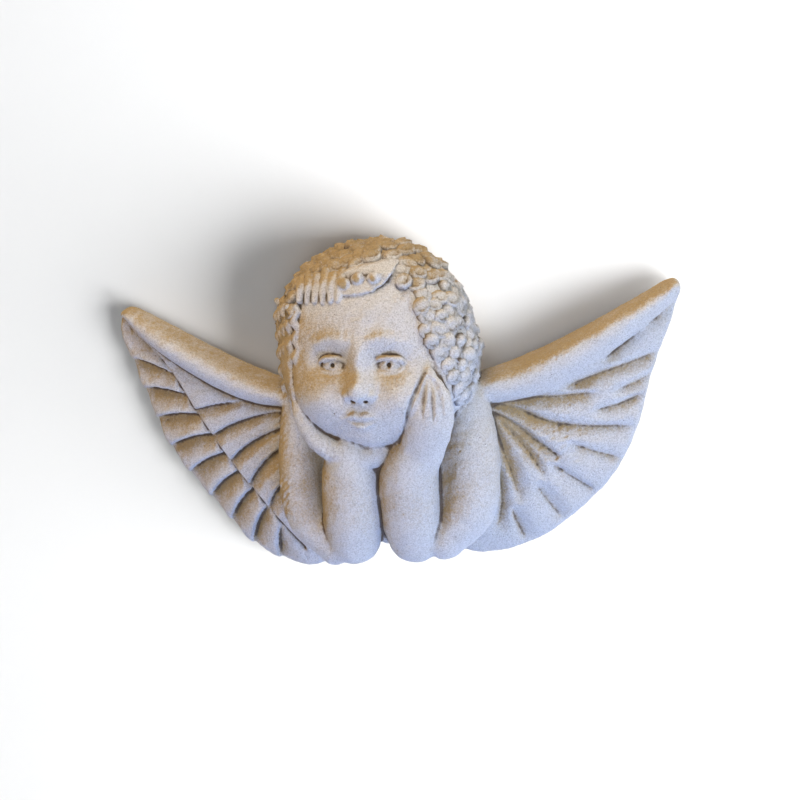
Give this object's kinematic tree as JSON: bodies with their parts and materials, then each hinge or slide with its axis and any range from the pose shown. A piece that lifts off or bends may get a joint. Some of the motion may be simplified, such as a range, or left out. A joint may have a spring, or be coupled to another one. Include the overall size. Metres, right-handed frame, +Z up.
{
  "type": "angel wall ornament",
  "caption": "Cast stone wall plaque of a winged cherub that rests its chin on both hands, with a flat back for hanging on a wall.",
  "frame": {"origin": "on the flat back, on the figure's centre line, at the height of the shoulders", "axes": "+X to the viewer's right along the wing span, +Z up, and the front faces -Y with the back in the plane Y = 0"},
  "size_m": [0.4022, 0.094, 0.2489],
  "materials": {
    "cast_stone": "matte, sandy, pitted, with warm brown patina in the hollows"
  },
  "bodies": {
    "root": {"angel_casting": "cast_stone"}
  },
  "joints": []
}
